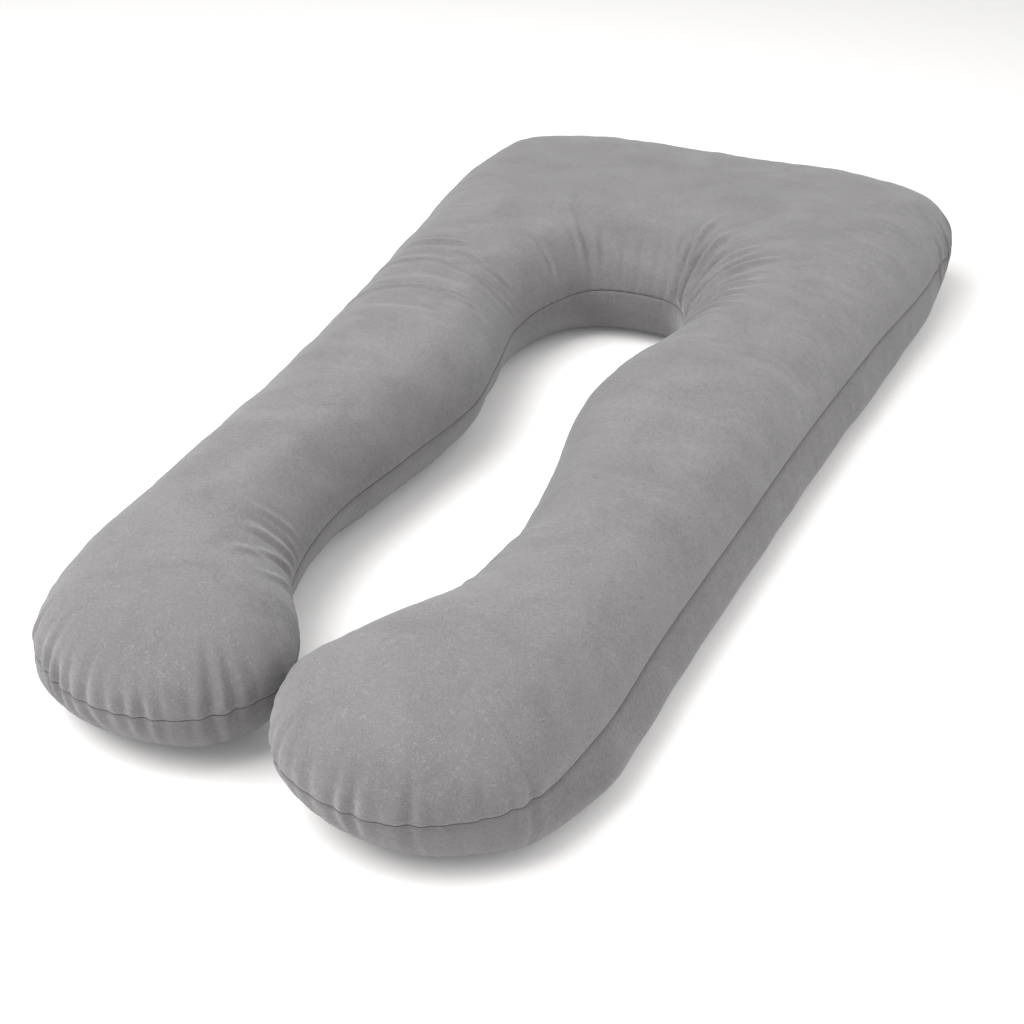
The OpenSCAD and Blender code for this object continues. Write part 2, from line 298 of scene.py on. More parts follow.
def sampleGrid(grid, xy):
    xs, ys, psi = grid
    step = xs[1] - xs[0]
    fx = np.clip((xy[:, 0] - xs[0]) / step, 0, len(xs) - 2.001)
    fy = np.clip((xy[:, 1] - ys[0]) / step, 0, len(ys) - 2.001)
    ix, iy = fx.astype(int), fy.astype(int)
    tx, ty = fx - ix, fy - iy
    low = psi[iy, ix] * (1 - tx) + psi[iy, ix + 1] * tx
    high = psi[iy + 1, ix] * (1 - tx) + psi[iy + 1, ix + 1] * tx
    return low * (1 - ty) + high * ty


def columnValue(values, place):
    k = np.floor(place).astype(int)
    t = place - k
    n = len(values)
    a, b = values[k % n], values[(k + 1) % n]
    t = t[:, None] if values.ndim > 1 else t
    return a * (1 - t) + b * t


# Lays a plan point on the stuffed surface; gap is its distance from the seam in plan.
def surfacePoints(cols, grid, xy, gap, place, side, skin=0.0):
    power = plan["topPower"] if side > 0 else plan["bottomPower"]
    part = np.clip(gap / plan["riseWidth"], 0, 1)
    rise = (1 - (1 - part) ** power) ** (1 / power)
    soft = 1.015 * np.sqrt(np.clip(sampleGrid(grid, xy), 0, 1))
    if side < 0:
        soft = soft ** 0.75
    mix = smoothStep(0.014, 0.07, gap)
    rise = rise * (1 - mix) + soft * mix
    z = plan["seamHeight"]
    if side > 0:
        z = z + (plan["topRise"] - skin) * rise
        out = xy
    else:
        z = z - (plan["bottomDrop"] * 1.04) * rise
        z = 0.5 * (z + np.sqrt(z * z + 0.002 ** 2)) - 0.0004 + skin
        turn = np.arcsin(np.clip(rise, 0, 1) ** (power / 2))
        push = columnValue(cols["push"], place)
        push = push * np.where(push > 0, np.sin(2 * turn), np.sin(turn)) * (1 - smoothStep(0.06, 0.1, gap))
        inward = columnValue(cols["in"], place)
        out = xy - inward * push[:, None]
    return np.column_stack([out, z])


lastRing = 0.024  # plan distance from the seam where the rings end and the even field begins


def ringGaps(side, count):
    power = plan["topPower"] if side > 0 else plan["bottomPower"]
    top = math.acos((1 - lastRing / plan["riseWidth"]) ** (power / 2))
    turn = np.linspace(0, top, count + 1)[1:]
    return plan["riseWidth"] * (1 - np.cos(turn) ** (2 / power))


# Builds both halves: rings beside the seam, then an even field of points inside them.
def pillowHalves(spacing, rings, inset=0.0, skin=0.0):
    cols = seamColumns(spacing, inset)
    grid = heightGrid(cols)
    count = len(cols["xy"])
    loop = cols["xy"] + cols["in"] * lastRing
    xs = np.arange(-planReach[0], planReach[0], spacing * 1.05)
    ys = np.arange(-planReach[1], planReach[1], spacing * 0.91)
    gx, gy = np.meshgrid(xs, ys)
    gx[1::2] += spacing * 0.525
    field = np.stack([gx.ravel(), gy.ravel()], 1)
    gap, place = nearestSeam(cols, field)
    keep = gap > lastRing + spacing * 0.75
    field, gap, place = field[keep], gap[keep], place[keep]
    flatPoints = [Vector(p) for p in np.vstack([loop, field]).tolist()]
    edges = [(i, (i + 1) % count) for i in range(count)]
    _, _, faces, origin, _, _ = geometry.delaunay_2d_cdt(flatPoints, edges, [], 0, 1e-7)
    remap = np.array([o[0] if o else -1 for o in origin])
    faces = remap[np.array(faces)]
    middle = np.vstack([loop, field])[faces].mean(1)
    faces = faces[nearestSeam(cols, middle)[0] > lastRing + spacing * 0.05]
    halves = {}
    for side in (1, -1):
        ringList = ringGaps(side, rings)
        xy = [cols["xy"] + cols["in"] * g for g in ringList] + [field]
        gaps = [np.full(count, g) for g in ringList] + [gap]
        places = [np.arange(count, dtype=float)] * rings + [place]
        xy, gaps, places = np.vstack(xy), np.concatenate(gaps), np.concatenate(places)
        verts = surfacePoints(cols, grid, xy, gaps, places, side, skin)
        j = np.arange(count)
        quads = []
        for r in range(rings - 1):
            a, b = r * count + j, r * count + (j + 1) % count
            quads.append(np.stack([a, b, b + count, a + count], 1))
        quads = np.vstack(quads)
        tris = faces + (rings - 1) * count
        halves[side] = {"verts": verts, "quads": quads, "tris": tris, "gap": gaps, "place": places, "xy": xy}
    return cols, halves


def meshObject(name, verts, faces, smooth=True):
    mesh = bpy.data.meshes.new(name)
    mesh.from_pydata(verts.tolist(), [], faces)
    mesh.update()
    if smooth:
        mesh.polygons.foreach_set("use_smooth", np.ones(len(mesh.polygons), bool))
    obj = bpy.data.objects.new(name, mesh)
    scene.collection.objects.link(obj)
    return obj


def vertexNormals(obj):
    n = np.empty(len(obj.data.vertices) * 3)
    obj.data.vertices.foreach_get("normal", n)
    return n.reshape(-1, 3)


coverPlan = {"spacing": 0.0031, "rings": 18}
cols, halves = pillowHalves(coverPlan["spacing"], coverPlan["rings"])
count = len(cols["xy"])
print("outline ready", count, len(halves[1]["verts"]))

# Folds and puckers, all in metres on the plan.
# Each fold: start, end, bow, width at the start, height (negative is a groove).
folds = [
    # round the neck
    ((-0.058, 0.284), (-0.150, 0.430), 0.010, 0.0062, -0.0067),
    ((-0.096, 0.233), (-0.160, 0.262), -0.004, 0.0044, -0.0038),
    ((-0.080, 0.286), (-0.140, 0.362), 0.004, 0.0050, -0.0020),
    ((-0.048, 0.294), (-0.070, 0.345), 0.000, 0.0050, -0.0017),
    ((-0.020, 0.296), (-0.034, 0.350), 0.000, 0.0050, -0.0014),
    ((0.004, 0.296), (-0.006, 0.350), 0.000, 0.0050, -0.0017),
    ((0.026, 0.294), (0.022, 0.350), 0.000, 0.0045, -0.0017),
    # tight fan at the right end of the neck
    ((0.056, 0.286), (0.044, 0.375), 0.004, 0.0042, 0.0041),
    ((0.066, 0.276), (0.068, 0.350), 0.003, 0.0034, -0.0045),
    ((0.074, 0.268), (0.080, 0.440), 0.004, 0.0040, 0.0054),
    ((0.080, 0.258), (0.094, 0.350), 0.003, 0.0033, -0.0059),
    ((0.086, 0.246), (0.118, 0.400), 0.006, 0.0042, 0.0054),
    ((0.092, 0.234), (0.136, 0.340), 0.005, 0.0034, -0.0054),
    ((0.096, 0.222), (0.170, 0.356), 0.008, 0.0042, 0.0054),
    ((0.099, 0.212), (0.186, 0.326), 0.008, 0.0039, -0.0071),
    ((0.102, 0.200), (0.214, 0.330), 0.008, 0.0045, 0.0059),
    ((0.104, 0.188), (0.206, 0.272), 0.005, 0.0034, -0.0041),
    ((0.105, 0.180), (0.214, 0.254), 0.004, 0.0045, 0.0045),
    ((0.106, 0.165), (0.196, 0.205), 0.003, 0.0036, -0.0038),
    ((0.106, 0.158), (0.200, 0.164), 0.004, 0.0042, 0.0038),
    ((0.106, 0.142), (0.190, 0.128), 0.000, 0.0046, -0.0021),
    # across the top of the left leg
    ((-0.150, -0.010), (-0.270, -0.034), -0.008, 0.0066, -0.0017),
    ((-0.210, 0.190), (-0.320, 0.158), -0.008, 0.0056, 0.0030),
    # inside of the left leg above the foot
    ((-0.080, -0.490), (-0.120, -0.566), 0.006, 0.0040, 0.0029),
    ((-0.086, -0.478), (-0.132, -0.516), 0.003, 0.0036, 0.0026),
    ((-0.098, -0.452), (-0.144, -0.482), 0.003, 0.0040, 0.0020),
    ((-0.078, -0.506), (-0.112, -0.548), 0.003, 0.0034, -0.0026),
    ((-0.066, -0.524), (-0.074, -0.566), 0.002, 0.0038, 0.0020),
    ((-0.088, -0.468), (-0.140, -0.500), 0.003, 0.0036, -0.0023),
    # inside of the right leg above the foot
    ((0.100, -0.472), (0.144, -0.500), -0.003, 0.0042, 0.0012),
    ((0.106, -0.440), (0.160, -0.450), -0.003, 0.0044, -0.0009),
    ((0.110, -0.400), (0.166, -0.392), -0.002, 0.0050, 0.0010),
]

# Long creases that turn on their way: points on the plan, width, height.
creases = [
    (((-0.300, -0.010), (-0.253, 0.030), (-0.216, 0.044), (-0.180, 0.046), (-0.140, 0.052)), 0.0032, 0.0032),
    (((-0.190, 0.046), (-0.155, 0.037), (-0.128, 0.042)), 0.0032, 0.0026),
    (((-0.312, 0.086), (-0.283, 0.113), (-0.251, 0.121), (-0.221, 0.126), (-0.185, 0.114), (-0.152, 0.108),
      (-0.125, 0.112), (-0.106, 0.134)), 0.0032, 0.0032),
    (((-0.226, 0.167), (-0.181, 0.153), (-0.150, 0.144), (-0.124, 0.152)), 0.0034, 0.0034),
    (((-0.296, 0.060), (-0.250, 0.080), (-0.200, 0.086), (-0.150, 0.080)), 0.0110, -0.0026),
    (((-0.300, 0.130), (-0.255, 0.146), (-0.200, 0.140)), 0.0100, -0.0022),
]

# Gathers along the seam: from, to, spacing, reach, depth; positions are paces along the seam.
gathers = [
    (1.03, 1.42, 0.0220, 0.034, 0.0042),
    (0.00, 0.17, 0.0150, 0.018, 0.0013),
    (0.82, 0.95, 0.0200, 0.020, 0.0012),
]

# Single deep pinches at the corner behind the right shoulder: pace along the seam, reach, depth, width.
pinches = [
    (2.745, 0.034, 0.0095, 0.0062),
    (2.700, 0.030, 0.0085, 0.0055),
    (2.655, 0.040, 0.0030, 0.0055),
]


def creaseField(xy):
    total = np.zeros(len(xy))
    for stops, width, height in creases:
        line = np.array(stops)
        for _ in range(3):
            cut = np.stack([line[:-1] * 0.75 + line[1:] * 0.25, line[:-1] * 0.25 + line[1:] * 0.75], 1)
            line = np.vstack([line[:1], cut.reshape(-1, 2), line[-1:]])
        gap = np.full(len(xy), 9.0)
        t = np.zeros(len(xy))
        for i in range(len(line) - 1):
            step = line[i + 1] - line[i]
            s = np.clip((xy - line[i]) @ step / (step @ step), 0, 1)
            away = np.linalg.norm(xy - line[i] - s[:, None] * step, axis=1)
            t = np.where(away < gap, (i + s) / (len(line) - 1), t)
            gap = np.minimum(gap, away)
        fade = smoothStep(0, 0.22, t) * (1 - smoothStep(0.7, 1, t))
        total += height * fade * (bell(gap / width) - 0.18 * bell((gap - 1.9 * width) / width))
    return total


def foldField(xy):
    total = creaseField(xy)
    for start, end, bow, width, height in folds:
        a, b = np.array(start), np.array(end)
        length = np.linalg.norm(b - a)
        ahead = (b - a) / length
        beside = np.array([-ahead[1], ahead[0]])
        t = ((xy - a) @ ahead) / length
        off = (xy - a) @ beside - 4 * bow * t * (1 - t)
        w = width * (0.75 + 0.7 * np.clip(t, 0, 1))
        shape = bell(off / w) - 0.45 * bell((off - 1.9 * w) / w) - 0.3 * bell((off + 1.9 * w) / w)
        fade = smoothStep(-0.02, 0.14, t) * (1 - smoothStep(0.5, 1.0, t))
        total += height * shape * fade
    return total


def gatherField(run, climb, side):
    rng = np.random.default_rng(41)
    total = np.zeros(len(run))
    for start, end, spacing, reach, depth in gathers:
        for hand in (-1, 1):
            at = start
            while at < end:
                ends = min(1, (at - start) / 0.05 + 0.25, (end - at) / 0.05 + 0.25) if start > 0 else 1
                deep = depth * (0.2 + 1.3 * rng.random() ** 1.5) * ends
                far = reach * (0.6 + 0.8 * rng.random())
                lean = 0.25 * (rng.random() - 0.5)
                off = hand * run - at - lean * climb
                w = spacing * (0.17 + 0.1 * rng.random())
                shape = bell(off / w) - 0.35 * bell((off - 1.9 * w) / w) - 0.35 * bell((off + 1.9 * w) / w)
                swell = (0.45 + 0.55 * smoothStep(0, 0.008, climb)) * bell(climb / far)
                total -= deep * shape * swell * (1 if side > 0 else 1 - 0.3 * smoothStep(0, 0.008, climb))
                at += spacing * (0.75 + 0.5 * rng.random())
    for at, reach, deep, w in pinches:
        off = run - at
        shape = bell(off / w) - 0.4 * bell((off - 1.9 * w) / w) - 0.4 * bell((off + 1.9 * w) / w)
        total -= deep * shape * bell(climb / reach)
    return total


# Uneven stuffing: a few long soft waves.
def lumpField(xy):
    rng = np.random.default_rng(7)
    total = np.zeros(len(xy))
    for _ in range(22):
        turn = rng.random() * 2 * math.pi
        size = 0.07 + 0.14 * rng.random()
        phase = rng.random() * 2 * math.pi
        along = xy @ np.array([math.cos(turn), math.sin(turn)])
        total += np.sin(along * 2 * math.pi / size + phase)
    return total * 0.00018


# Cloth simulation: a coarse cover is pumped up, and its fine waves go to the panels.

clothPlan = {
    "spacing": 0.0095,
    "frames": 14,
    "pressure": 4.0,
    "extraCloth": 0.03,
    "most": 0.004,
    "share": 0.3,
}


def blurGrid(values, passes):
    for _ in range(passes):
        wide = np.pad(values, 1, mode="edge")
        beside = wide[2:, 1:-1] + wide[:-2, 1:-1] + wide[1:-1, 2:] + wide[1:-1, :-2]
        values = (wide[1:-1, 1:-1] * 4 + beside) / 8
    return values


def simulateCover(p):
    clothCols, parts = pillowHalves(p["spacing"], 6)
    n = len(clothCols["xy"])
    edge = np.column_stack([clothCols["xy"], np.full(n, plan["seamHeight"])])
    top, low = parts[1], parts[-1]
    verts = np.vstack([edge, top["verts"], low["verts"]])
    split = n + len(top["verts"])
    j = np.arange(n)
    ahead = (j + 1) % n
    topQuads = np.vstack([np.stack([j, ahead, ahead + n, j + n], 1), top["quads"] + n])
    lowQuads = np.vstack([np.stack([j, ahead, ahead + split, j + split], 1), low["quads"] + split])
    faces = topQuads.tolist() + (top["tris"] + n).tolist()
    faces += lowQuads[:, ::-1].tolist() + (low["tris"] + split)[:, ::-1].tolist()
    obj = meshObject("cloth_trial", verts, faces)
    normals = vertexNormals(obj)
    held = obj.vertex_groups.new(name="seam")
    held.add(list(range(n)), 1.0, "REPLACE")
    cloth = obj.modifiers.new("cloth", "CLOTH")
    cloth.settings.quality = 4
    cloth.settings.mass = 0.25
    cloth.settings.tension_stiffness = 12
    cloth.settings.compression_stiffness = 12
    cloth.settings.shear_stiffness = 5
    cloth.settings.bending_stiffness = 0.4
    cloth.settings.use_pressure = True
    cloth.settings.uniform_pressure_force = p["pressure"]
    cloth.settings.shrink_min = -p["extraCloth"]
    cloth.settings.vertex_group_mass = "seam"
    cloth.settings.effector_weights.gravity = 0
    cloth.collision_settings.use_self_collision = False
    cloth.point_cache.frame_end = p["frames"]
    for step in range(1, p["frames"] + 1):
        scene.frame_set(step)
    settled = obj.evaluated_get(bpy.context.evaluated_depsgraph_get())
    moved = np.empty(len(verts) * 3)
    settled.data.vertices.foreach_get("co", moved)
    out = ((moved.reshape(-1, 3) - verts) * normals).sum(1)
    bpy.data.objects.remove(obj, do_unlink=True)
    scene.frame_set(1)
    fields = {}
    for side, part in ((1, slice(n, split)), (-1, slice(split, None))):
        fields[side] = waveGrid(parts[side]["xy"], out[part], p["most"])
    return fields


# Spreads the outward moves over an even grid and keeps only the waves shorter than a hand.
def waveGrid(xy, out, most):
    xs, ys = planGrid(gridStep)
    total = np.zeros((len(ys), len(xs)))
    weight = np.full_like(total, 1e-6)
    ix = np.round((xy[:, 0] - xs[0]) / gridStep).astype(int)
    iy = np.round((xy[:, 1] - ys[0]) / gridStep).astype(int)
    np.add.at(total, (iy, ix), out)
    np.add.at(weight, (iy, ix), 1.0)
    fine = blurGrid(total, 5) / blurGrid(weight, 5)
    broad = blurGrid(total, 160) / blurGrid(weight, 160)
    waves = fine - broad
    return xs, ys, clothPlan["share"] * most * np.tanh(waves / most)


waves = None
waves = simulateCover(clothPlan)
print("cloth settled", float(np.abs(waves[1][2]).max()))


# Cover panels: their turned-in edges come first.
def edgeRings(side):
    across = np.abs(cols["xy"][:, 0])
    slot = plan["zipSlot"] * (1 - smoothStep(plan["zipHalf"] - 0.002, plan["zipHalf"] + 0.007, across))
    slot = slot * (cols["xy"][:, 1] > 0.6)
    rings = []
    for inset, lift in ((0.0035, 0.0001), (0.0014, 0.0002), (0.0003, 0.0006)):
        xy = cols["xy"] + cols["in"] * inset
        z = plan["seamHeight"] + side * (slot + lift)
        rings.append(np.column_stack([xy, z]))
    return slot, rings


def coverPanel(name, side):
    half = halves[side]
    verts = half["verts"].copy()
    slot, edge = edgeRings(side)
    n = len(edge)
    lift = np.abs(verts[:, 2] - plan["seamHeight"])
    opening = columnValue(slot, half["place"])
    room = 0.045
    near = lift < room
    verts[near, 2] = plan["seamHeight"] + side * (opening + lift * (room - opening) / room)[near]
    verts = np.vstack(edge + [verts])
    j = np.arange(count)
    quads = []
    for r in range(n):
        a, b = r * count + j, r * count + (j + 1) % count
        quads.append(np.stack([a, b, b + count, a + count], 1))
    quads = np.vstack(quads + [half["quads"] + n * count])
    tris = half["tris"] + n * count
    if side > 0:
        faces = quads.tolist() + tris.tolist()
    else:
        faces = quads[:, ::-1].tolist() + tris[:, ::-1].tolist()
    obj = meshObject(name, verts, faces)
    normals = vertexNormals(obj)
    place = np.concatenate([np.tile(np.arange(count, dtype=float), n), half["place"]])
    gap = np.concatenate([np.zeros(n * count), half["gap"]])
    run = place * cols["length"] / count
    run = np.where(run > cols["length"] / 2, run - cols["length"], run)
    climb = np.hypot(gap, verts[:, 2] - plan["seamHeight"])
    push = gatherField(run, climb, side)
    flat = np.vstack([e[:, :2] for e in edge] + [half["xy"]])
    if side > 0:
        push += (foldField(flat) + lumpField(flat)) * smoothStep(0, 0.02, climb)
    else:
        push += lumpField(flat + 0.31) * smoothStep(0, 0.02, climb)
    if waves:
        push += sampleGrid(waves[side], flat) * smoothStep(0.004, 0.03, climb)
    # the zip stays straight, and what lies on the floor stays flat
    push *= 1 - smoothStep(0, 0.004, columnValue(slot, place)) * (1 - smoothStep(0.02, 0.05, climb))
    # beside the seam both panels move straight outward together, so it stays closed
    outward = np.column_stack([-columnValue(cols["in"], place), np.zeros(len(place))])
    turn = smoothStep(0.003, 0.018, climb)[:, None]
    verts = verts + (outward * (1 - turn) + normals * turn) * push[:, None]
    if side < 0:
        verts[:, 2] = np.maximum(verts[:, 2], 0.0002)
    obj.data.vertices.foreach_set("co", verts.ravel())
    # the rows of faces next to the seam take the darker velour_inside material: painted shade in the seam
    # crease
    turned = np.zeros(len(obj.data.polygons), int)
    turned[:(n - 1) * count] = 1
    obj.data.polygons.foreach_set("material_index", turned)
    obj.data.update()
    return obj


topCover = coverPanel("cover_top_velour", 1)
bottomCover = coverPanel("cover_bottom_velour", -1)


# Turned-in edges and their thread, left open along the zip.
def seamStrip(name, inset, wide, low, tall):
    keep = (np.abs(cols["xy"][:, 0]) > plan["zipHalf"] + 0.012) | (cols["xy"][:, 1] < 0.6)
    first = int(np.argmax(~keep))
    order = np.array([i % count for i in range(first, first + count) if keep[i % count]])
    inner = cols["xy"][order] + cols["in"][order] * (inset + wide)
    outer = cols["xy"][order] + cols["in"][order] * inset
    z = plan["seamHeight"] + low
    corners = [(outer, z), (inner, z), (inner, z + tall), (outer, z + tall)]
    verts = np.stack([np.column_stack([xy, np.full(len(xy), h)]) for xy, h in corners], 1).reshape(-1, 3)
    faces = [(0, 1, 2, 3)]
    m = len(order)
    for i in range(m - 1):
        a = i * 4
        for k in range(4):
            b = (k + 1) % 4
            faces.append((a + k, a + 4 + k, a + 4 + b, a + b))
    a = (m - 1) * 4
    faces.append((a + 3, a + 2, a + 1, a))
    return meshObject(name, verts, faces, smooth=False)


seamPlan = {
    "allowance": 0.008,
    "thick": 0.0012,
    "thread": 0.0008,
}
seamAllowance = seamStrip("seam_allowance_velour", 0.004, seamPlan["allowance"], -0.0006, seamPlan["thick"])
seamThread = seamStrip("seam_thread", 0.0052, seamPlan["thread"], 0.0007, 0.0004)


# What is inside: cotton liner and loose fibre.
def innerPillow(names, inset, skin):
    ringCols, parts = pillowHalves(0.011, 6, inset, skin)
    n = len(ringCols["xy"])
    edge = np.column_stack([ringCols["xy"], np.full(n, plan["seamHeight"])])
    j = np.arange(n)
    join = np.stack([j, (j + 1) % n, (j + 1) % n + n, j + n], 1)
    made = []
    for name, sides in names:
        verts = [edge]
        faces = []
        start = n
        for side in sides:
            half = parts[side]
            quads = np.vstack([join + [0, 0, start - n, start - n], half["quads"] + start])
            tris = half["tris"] + start
            if side < 0:
                quads, tris = quads[:, ::-1], tris[:, ::-1]
            faces += quads.tolist() + tris.tolist()
            verts.append(half["verts"])
            start += len(half["verts"])
        made.append(meshObject(name, np.vstack(verts), faces))
    return made


# How far each lies inside the seam, and how far below the surface of the cover.
innerPlan = {
    "linerInset": 0.012,
    "linerSkin": 0.010,
    "fibreInset": 0.017,
    "fibreSkin": 0.015,
}
linerTop, linerBottom = innerPillow([("liner_top_cotton", (1,)), ("liner_bottom_cotton", (-1,))],
                                    innerPlan["linerInset"], innerPlan["linerSkin"])
filling, = innerPillow([("polyester_filling", (1, -1))], innerPlan["fibreInset"], innerPlan["fibreSkin"])

# The bottom panel gets a copy of the velour painted a shade darker: painted shade standing in for the dimmer
# light under the pillow.
velourPlan = {
    "dark": "#676566",
    "light": "#807E7F",
    "shadedDark": "#615F60",
    "shadedLight": "#797778",
}


# Knitted polyester velour with a short brushed pile: matt, mottled where the nap lies differently.
# Real pile is too fine to show from here, so the squiggles of nap are drawn about 5 mm long.
def makeVelour(name, dark, light):
    m = newMaterial(name)
    spot = addNode(m, "ShaderNodeTexCoord").outputs["Object"]
    # brushed patches a hand wide, short squiggles of nap, and the pile itself
    wide = addNode(m, "ShaderNodeTexNoise", {
        "Scale": 11.0, "Detail": 3.0, "Roughness": 0.6, "Distortion": 0.8}, {"Vector": spot})
    nap = addNode(m, "ShaderNodeTexNoise", {
        "Scale": 165.0, "Detail": 1.5, "Roughness": 0.5, "Distortion": 2.6}, {"Vector": spot})
    lines = addNode(m, "ShaderNodeMath", {"operation": "PINGPONG", 1: 0.1}, {0: nap.outputs["Fac"]})
    fine = addNode(m, "ShaderNodeMapRange", {"From Min": 0.02, "From Max": 0.1}, {"Value": lines.outputs[0]})
    pile = addNode(m, "ShaderNodeTexNoise", {"Scale": 1500.0, "Detail": 2.0}, {"Vector": spot})
    patch = addNode(m, "ShaderNodeMapRange", {
        "From Min": 0.3, "From Max": 0.7, "To Min": 0.0, "To Max": 0.4}, {"Value": wide.outputs["Fac"]})
    both = addNode(m, "ShaderNodeMath", {"operation": "MULTIPLY_ADD", 1: 0.75},
                   {0: fine.outputs[0], 2: patch.outputs[0]})
    colour = addNode(m, "ShaderNodeMix", {"data_type": "RGBA", 6: toLinear(dark), 7: toLinear(light)},
                     {0: both.outputs[0]})
    squiggle = addNode(m, "ShaderNodeBump", {"Strength": 0.45, "Distance": 0.0008},
                       {"Height": fine.outputs[0]})
    bump = addNode(m, "ShaderNodeBump", {"Strength": 0.5, "Distance": 0.0004},
                   {"Height": pile.outputs["Fac"], "Normal": squiggle.outputs[0]})
    # the sheen makes the rims of short pile go pale
    shader = addNode(m, "ShaderNodeBsdfPrincipled", {
        "Roughness": 0.95, "Specular IOR Level": 0.12, "Sheen Weight": 0.4, "Sheen Roughness": 0.4},
        {"Base Color": colour.outputs[2], "Normal": bump.outputs[0]})
    return finishMaterial(m, shader)


velour = makeVelour("velour", velourPlan["dark"], velourPlan["light"])
# darker copy of the velour for the bottom panel: painted shade on the underside
velourBottomShaded = makeVelour("velour_bottom_painted_shade", velourPlan["shadedDark"], velourPlan["shadedLight"])
# The knitted back of the velour, used for the seam allowance and the guard flap: darker, with no sheen. On
# the cover panels' turned-in lips it is painted shade that darkens the seam crease.
velourBackAndCreaseShade = newMaterial("velour_inside")
finishMaterial(velourBackAndCreaseShade, addNode(velourBackAndCreaseShade, "ShaderNodeBsdfPrincipled", {
    "Base Color": toLinear("#636263"), "Roughness": 1.0, "Specular IOR Level": 0.05}))
# the bottom panel wears the darker copy, which is painted shade
for obj, cloth in ((topCover, velour), (bottomCover, velourBottomShaded)):
    obj.data.materials.append(cloth)
    # second slot: the darker velour_inside material, painted shade on the seam lips
    obj.data.materials.append(velourBackAndCreaseShade)
    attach(obj, "pillow")
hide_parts("cover_top_panel")
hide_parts("cover_bottom_panel")


# Plain woven or spun fibre: dull, with a fine uneven surface.
def makeCotton(name, code, scale):
    m = newMaterial(name)
    spot = addNode(m, "ShaderNodeTexCoord").outputs["Object"]
    weave = addNode(m, "ShaderNodeTexNoise", {"Scale": scale, "Detail": 3.0}, {"Vector": spot})
    bump = addNode(m, "ShaderNodeBump", {"Strength": 0.3, "Distance": 0.0003},
                   {"Height": weave.outputs["Fac"]})
    shader = addNode(m, "ShaderNodeBsdfPrincipled", {
        "Base Color": toLinear(code), "Roughness": 0.9, "Specular IOR Level": 0.2},
        {"Normal": bump.outputs[0]})
    return finishMaterial(m, shader)


cotton = makeCotton("cotton_liner", "#EFEDE8", 1800.0)
thread = makeCotton("polyester_thread", "#6E6D6E", 2400.0)
for obj, node, slot, material in (
        (seamAllowance, "cover_seam_allowance", "velour_inside", velourBackAndCreaseShade),
        (seamThread, "cover_seam_stitching", "sewing_thread", thread)):
    obj.data.materials.append(material)
    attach(obj, "pillow")
    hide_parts(node)
fibre = makeCotton("polyester_fibre", "#F6F6F4", 240.0)
for obj, nodes, slot, material in (
        (linerTop, ("liner_top_panel",), "cotton_liner", cotton),
        (linerBottom, ("liner_bottom_panel",), "cotton_liner", cotton),
        (filling, ("fibre_filling",), "polyester_fibre", fibre)):
    obj.data.materials.append(material)
    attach(obj, "pillow")
    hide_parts(*nodes)
print("cover ready")

zipPlan = {
    "tapeDark": "#4F4E50",
    "tapeLight": "#676668",
    "tapeThread": 0.0009,
    "coil": "#5A595B",
    "metal": "#BDBDC1",
    "label": "#E9E7E2",
    "cell": 0.0016,
}


# A thin strip of cloth with soft edges, in the space of its CAD node.
def clothStrip(name, node, cell, wave=0.0):
    low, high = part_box(node)
    size = high - low
    x = np.linspace(low.x, high.x, max(5, round(size.x / cell)))
    z = np.linspace(low.z, high.z, max(5, round(size.z / cell)))
    gx, gz = (g.ravel() for g in np.meshgrid(x, z))
    rim = np.minimum(np.minimum(gx - low.x, high.x - gx), np.minimum(gz - low.z, high.z - gz))
    half = size.y / 2 * np.sqrt(1 - (1 - np.clip(rim / size.y, 0, 1)) ** 2) - wave * (rim > 0)
    middle = (low.y + high.y) / 2 + wave * np.sin(gx * 160 + gz * 90) * (rim > 0)
    front = np.column_stack([gx, middle + half, gz])
    rear = np.column_stack([gx, middle - half, gz])
    wide = len(x)
    faces = []
    for r in range(len(z) - 1):
        for c in range(wide - 1):
            a = r * wide + c
            faces.append((a + 1, a, a + wide, a + wide + 1))
    rearFaces = [tuple(i + len(gx) for i in reversed(f)) for f in faces]
    obj = meshObject(name, np.vstack([front, rear]), faces + rearFaces)
    work = bmesh.new()
    work.from_mesh(obj.data)
    bmesh.ops.remove_doubles(work, verts=work.verts, dist=1e-6)
    work.to_mesh(obj.data)
    work.free()
    return obj


# Woven polyester: fine slanted threads that catch the light as a soft twill.
def makeWoven(name, dark, light, thread):
    m = newMaterial(name)
    spot = addNode(m, "ShaderNodeTexCoord").outputs["Object"]
    rib = addNode(m, "ShaderNodeTexWave", {
        "wave_type": "BANDS", "bands_direction": "DIAGONAL", "Scale": 0.314 / thread, "Distortion": 0.6},
        {"Vector": spot})
    colour = addNode(m, "ShaderNodeMix", {"data_type": "RGBA", 6: toLinear(dark), 7: toLinear(light)},
                     {0: rib.outputs["Fac"]})
    bump = addNode(m, "ShaderNodeBump", {"Strength": 0.4, "Distance": 0.0002},
                   {"Height": rib.outputs["Fac"]})
    shader = addNode(m, "ShaderNodeBsdfPrincipled", {"Roughness": 0.8, "Specular IOR Level": 0.3},
                     {"Base Color": colour.outputs[2], "Normal": bump.outputs[0]})
    return finishMaterial(m, shader)


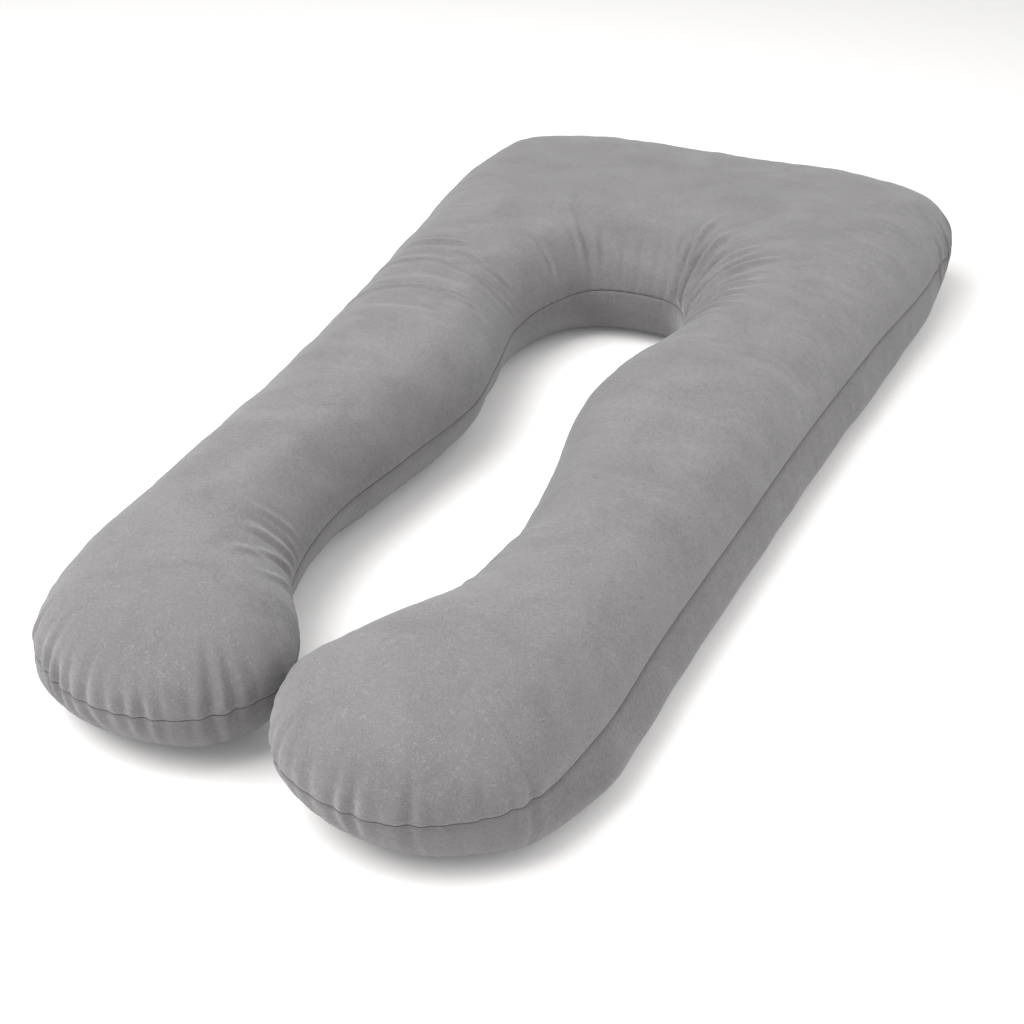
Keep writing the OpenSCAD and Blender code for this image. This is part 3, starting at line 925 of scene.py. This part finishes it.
# Cast zinc alloy with a tumbled nickel finish: soft reflections and faint rubbing marks.
def makeZinc(code):
    m = newMaterial("tumbled_zinc_alloy")
    spot = addNode(m, "ShaderNodeTexCoord").outputs["Object"]
    rub = addNode(m, "ShaderNodeTexNoise", {"Scale": 900.0, "Detail": 4.0, "Roughness": 0.7},
                  {"Vector": spot})
    rough = addNode(m, "ShaderNodeMapRange", {"To Min": 0.26, "To Max": 0.44}, {"Value": rub.outputs["Fac"]})
    bump = addNode(m, "ShaderNodeBump", {"Strength": 0.12, "Distance": 0.0002},
                   {"Height": rub.outputs["Fac"]})
    shader = addNode(m, "ShaderNodeBsdfPrincipled", {"Base Color": toLinear(code), "Metallic": 1.0},
                     {"Roughness": rough.outputs[0], "Normal": bump.outputs[0]})
    return finishMaterial(m, shader)


# Drawn nylon wire: smooth, faintly glossy, with a slight haze from dyeing.
def makeNylon(code):
    m = newMaterial("dyed_nylon_wire")
    spot = addNode(m, "ShaderNodeTexCoord").outputs["Object"]
    haze = addNode(m, "ShaderNodeTexNoise", {"Scale": 1200.0, "Detail": 2.0}, {"Vector": spot})
    rough = addNode(m, "ShaderNodeMapRange", {"To Min": 0.32, "To Max": 0.5}, {"Value": haze.outputs["Fac"]})
    shader = addNode(m, "ShaderNodeBsdfPrincipled", {"Base Color": toLinear(code), "IOR": 1.53},
                     {"Roughness": rough.outputs[0]})
    return finishMaterial(m, shader)


def dressNodes(nodes, material):
    for name in nodes:
        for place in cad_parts[name].material_slots:
            place.material = material


tapeCloth = makeWoven("woven_zip_tape", zipPlan["tapeDark"], zipPlan["tapeLight"], zipPlan["tapeThread"])
labelCloth = makeWoven("woven_satin_label", "#DDDBD6", zipPlan["label"], 0.0007)
for name, node, slot, material, cell in (
        ("tape_upper", "zip_tape_upper", "zip_tape", tapeCloth, zipPlan["cell"]),
        ("tape_lower", "zip_tape_lower", "zip_tape", tapeCloth, zipPlan["cell"]),
        ("end_tab_left", "zip_end_tab_left", "zip_tape", tapeCloth, 0.0005),
        ("end_tab_right", "zip_end_tab_right", "zip_tape", tapeCloth, 0.0005),
        ("guard_flap", "zip_guard_flap", "velour_inside", velourBackAndCreaseShade, 0.0025),
        ("care_label", "inner_care_label", "woven_label", labelCloth, 0.0015)):
    obj = clothStrip(name, node, cell, 0.00008)
    obj.data.materials.append(material)
    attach(obj, "pillow")
    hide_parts(node)
dressNodes(("zip_coil_upper", "zip_coil_lower"), makeNylon(zipPlan["coil"]))
dressNodes(("zip_bottom_stop", "zip_top_stop_upper", "zip_top_stop_lower", "zip_slider_body",
            "zip_slider_bridge", "zip_pull_tab"), makeZinc(zipPlan["metal"]))
dressNodes(("liner_closing_stitch",), thread)
print("zip ready")

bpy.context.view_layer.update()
